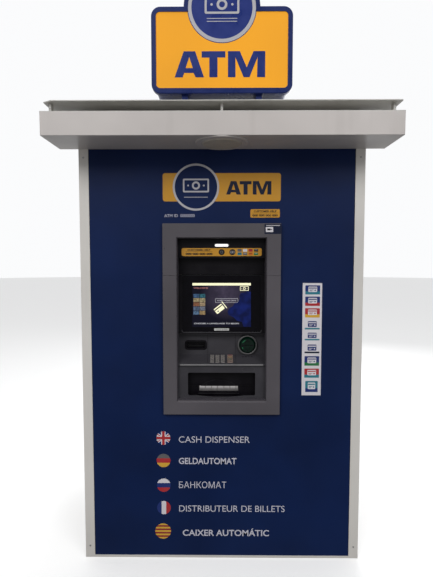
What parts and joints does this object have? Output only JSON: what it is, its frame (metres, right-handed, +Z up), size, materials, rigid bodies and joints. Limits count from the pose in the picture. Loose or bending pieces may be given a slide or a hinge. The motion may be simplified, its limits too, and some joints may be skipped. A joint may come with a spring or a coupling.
{
  "type": "atm machine",
  "caption": "Outdoor cash machine in a free-standing steel kiosk with a lamp-lit canopy, a raised roof sheet and a lit roof sign.",
  "frame": {"origin": "centre of the overall footprint, on the ground", "axes": "+X to the right of a user who faces the machine, -Y towards the user, +Z up"},
  "size_m": [1.581, 1.29, 2.7859],
  "materials": {
    "white_paint": "semi-gloss off-white powder coat",
    "white_trim": "gloss white paint",
    "opal_lens": "opal diffuser",
    "navy_panel": "satin navy film",
    "sign_blue": "gloss blue moulding",
    "sign_yellow": "lit yellow acrylic",
    "sign_emblem": "blue acrylic disc",
    "surround_grey": "satin grey textured paint",
    "console_grey": "dark grey satin moulding",
    "dark_plastic": "near-black moulding",
    "display_glass": "dark toughened glass over the display",
    "key_steel": "cast metal keys",
    "brushed_trim": "brushed stainless steel",
    "reader_green": "dark green translucent moulding",
    "safe_paint": "hammered grey paint",
    "rack_steel": "zinc-plated sheet",
    "cassette_plastic": "dark moulding",
    "module_plastic": "dark moulding"
  },
  "bodies": {
    "kiosk": {"base_frame": "white_paint", "canopy": "white_paint", "cash_bay": "dark_plastic", "cassette_rack": "rack_steel", "computer_box": "module_plastic", "console_panel": "console_grey", "display_panel": "display_glass", "door_hinges": "brushed_trim", "front_panel": "navy_panel", "head_panel": "dark_plastic", "keypad_housing": "brushed_trim", "lamp_lens": "opal_lens", "lamp_ring": "white_trim", "left_post": "white_paint", "left_wall": "white_paint", "lower_surround": "surround_grey", "note_transport": "module_plastic", "reader_nose": "reader_green", "reader_ring": "brushed_trim", "rear_frame": "white_paint", "receipt_bezel": "console_grey", "recess_liner": "console_grey", "right_post": "white_paint", "right_wall": "white_paint", "roof_deck": "white_paint", "roof_sheet": "white_paint", "roof_standoffs": "white_trim", "safe_body": "safe_paint", "screen_bezel": "dark_plastic", "sign_case": "sign_blue", "sign_disc": "sign_emblem", "sign_face": "sign_yellow", "sign_feet": "sign_blue", "task_light": "opal_lens", "upper_surround": "surround_grey"},
    "key_0_body": {"key_0": "key_steel"},
    "key_1_body": {"key_1": "key_steel"},
    "key_2_body": {"key_2": "key_steel"},
    "key_3_body": {"key_3": "key_steel"},
    "key_4_body": {"key_4": "key_steel"},
    "key_5_body": {"key_5": "key_steel"},
    "key_6_body": {"key_6": "key_steel"},
    "key_7_body": {"key_7": "key_steel"},
    "key_8_body": {"key_8": "key_steel"},
    "key_9_body": {"key_9": "key_steel"},
    "key_blank_left_body": {"key_blank_left": "key_steel"},
    "key_blank_right_body": {"key_blank_right": "key_steel"},
    "key_blank_wide_body": {"key_blank_wide": "key_steel"},
    "key_cancel_body": {"key_cancel": "key_steel"},
    "key_clear_body": {"key_clear": "key_steel"},
    "key_enter_body": {"key_enter": "key_steel"},
    "shutter": {"cash_shutter": "brushed_trim"},
    "service_door": {"rear_door": "white_paint"},
    "service_handle": {"door_handle": "brushed_trim"},
    "safe_door_leaf": {"safe_door": "safe_paint"},
    "safe_wheel": {"safe_handle": "brushed_trim"},
    "cassette_1_body": {"cassette_1": "cassette_plastic"},
    "cassette_2_body": {"cassette_2": "cassette_plastic"},
    "cassette_3_body": {"cassette_3": "cassette_plastic"},
    "cassette_4_body": {"cassette_4": "cassette_plastic"}
  },
  "joints": [
    {"name": "key_0_press", "type": "slide", "parent": "kiosk", "child": "key_0_body", "axis": [0, 0.3452, -0.9385], "range_m": [0, 0.0012], "stiffness_N_per_m": 900},
    {"name": "key_1_press", "type": "slide", "parent": "kiosk", "child": "key_1_body", "axis": [0, 0.3452, -0.9385], "range_m": [0, 0.0012], "stiffness_N_per_m": 900},
    {"name": "key_2_press", "type": "slide", "parent": "kiosk", "child": "key_2_body", "axis": [0, 0.3452, -0.9385], "range_m": [0, 0.0012], "stiffness_N_per_m": 900},
    {"name": "key_3_press", "type": "slide", "parent": "kiosk", "child": "key_3_body", "axis": [0, 0.3452, -0.9385], "range_m": [0, 0.0012], "stiffness_N_per_m": 900},
    {"name": "key_4_press", "type": "slide", "parent": "kiosk", "child": "key_4_body", "axis": [0, 0.3452, -0.9385], "range_m": [0, 0.0012], "stiffness_N_per_m": 900},
    {"name": "key_5_press", "type": "slide", "parent": "kiosk", "child": "key_5_body", "axis": [0, 0.3452, -0.9385], "range_m": [0, 0.0012], "stiffness_N_per_m": 900},
    {"name": "key_6_press", "type": "slide", "parent": "kiosk", "child": "key_6_body", "axis": [0, 0.3452, -0.9385], "range_m": [0, 0.0012], "stiffness_N_per_m": 900},
    {"name": "key_7_press", "type": "slide", "parent": "kiosk", "child": "key_7_body", "axis": [0, 0.3452, -0.9385], "range_m": [0, 0.0012], "stiffness_N_per_m": 900},
    {"name": "key_8_press", "type": "slide", "parent": "kiosk", "child": "key_8_body", "axis": [0, 0.3452, -0.9385], "range_m": [0, 0.0012], "stiffness_N_per_m": 900},
    {"name": "key_9_press", "type": "slide", "parent": "kiosk", "child": "key_9_body", "axis": [0, 0.3452, -0.9385], "range_m": [0, 0.0012], "stiffness_N_per_m": 900},
    {"name": "key_blank_left_press", "type": "slide", "parent": "kiosk", "child": "key_blank_left_body", "axis": [0, 0.3452, -0.9385], "range_m": [0, 0.0012], "stiffness_N_per_m": 900},
    {"name": "key_blank_right_press", "type": "slide", "parent": "kiosk", "child": "key_blank_right_body", "axis": [0, 0.3452, -0.9385], "range_m": [0, 0.0012], "stiffness_N_per_m": 900},
    {"name": "key_blank_wide_press", "type": "slide", "parent": "kiosk", "child": "key_blank_wide_body", "axis": [0, 0.3452, -0.9385], "range_m": [0, 0.0012], "stiffness_N_per_m": 900},
    {"name": "key_cancel_press", "type": "slide", "parent": "kiosk", "child": "key_cancel_body", "axis": [0, 0.3452, -0.9385], "range_m": [0, 0.0012], "stiffness_N_per_m": 900},
    {"name": "key_clear_press", "type": "slide", "parent": "kiosk", "child": "key_clear_body", "axis": [0, 0.3452, -0.9385], "range_m": [0, 0.0012], "stiffness_N_per_m": 900},
    {"name": "key_enter_press", "type": "slide", "parent": "kiosk", "child": "key_enter_body", "axis": [0, 0.3452, -0.9385], "range_m": [0, 0.0012], "stiffness_N_per_m": 900},
    {"name": "shutter_lift", "type": "slide", "parent": "kiosk", "child": "shutter", "axis": [0, 0, 1], "range_m": [0, 0.03]},
    {"name": "service_door_hinge", "type": "hinge", "parent": "kiosk", "child": "service_door", "pos_m": [-0.554, 0.612, 1], "axis": [0, 0, 1], "range_deg": [0, 105]},
    {"name": "service_handle_turn", "type": "hinge", "parent": "service_door", "child": "service_handle", "pos_m": [0.478, 0.62, 1.04], "axis": [0, 1, 0], "range_deg": [0, 60], "stiffness_Nm_per_rad": 1.5},
    {"name": "safe_door_hinge", "type": "hinge", "parent": "kiosk", "child": "safe_door_leaf", "pos_m": [-0.292, 0.433, 0.4], "axis": [0, 0, 1], "range_deg": [0, 105]},
    {"name": "safe_wheel_turn", "type": "hinge", "parent": "safe_door_leaf", "child": "safe_wheel", "pos_m": [0.13, 0.445, 0.43], "axis": [0, 1, 0], "range_deg": [0, 90]},
    {"name": "cassette_1_slide", "type": "slide", "parent": "kiosk", "child": "cassette_1_body", "axis": [0, 1, 0], "range_m": [0, 0.33]},
    {"name": "cassette_2_slide", "type": "slide", "parent": "kiosk", "child": "cassette_2_body", "axis": [0, 1, 0], "range_m": [0, 0.33]},
    {"name": "cassette_3_slide", "type": "slide", "parent": "kiosk", "child": "cassette_3_body", "axis": [0, 1, 0], "range_m": [0, 0.33]},
    {"name": "cassette_4_slide", "type": "slide", "parent": "kiosk", "child": "cassette_4_body", "axis": [0, 1, 0], "range_m": [0, 0.33]}
  ],
  "couplings": [
    {"joint": "safe_door_hinge", "follows": "service_door_hinge", "ratio": 1},
    {"joint": "cassette_1_slide", "follows": "service_door_hinge", "m_per_rad": 0.18},
    {"joint": "cassette_2_slide", "follows": "service_door_hinge", "m_per_rad": 0.18},
    {"joint": "cassette_3_slide", "follows": "service_door_hinge", "m_per_rad": 0.18},
    {"joint": "cassette_4_slide", "follows": "service_door_hinge", "m_per_rad": 0.18}
  ]
}
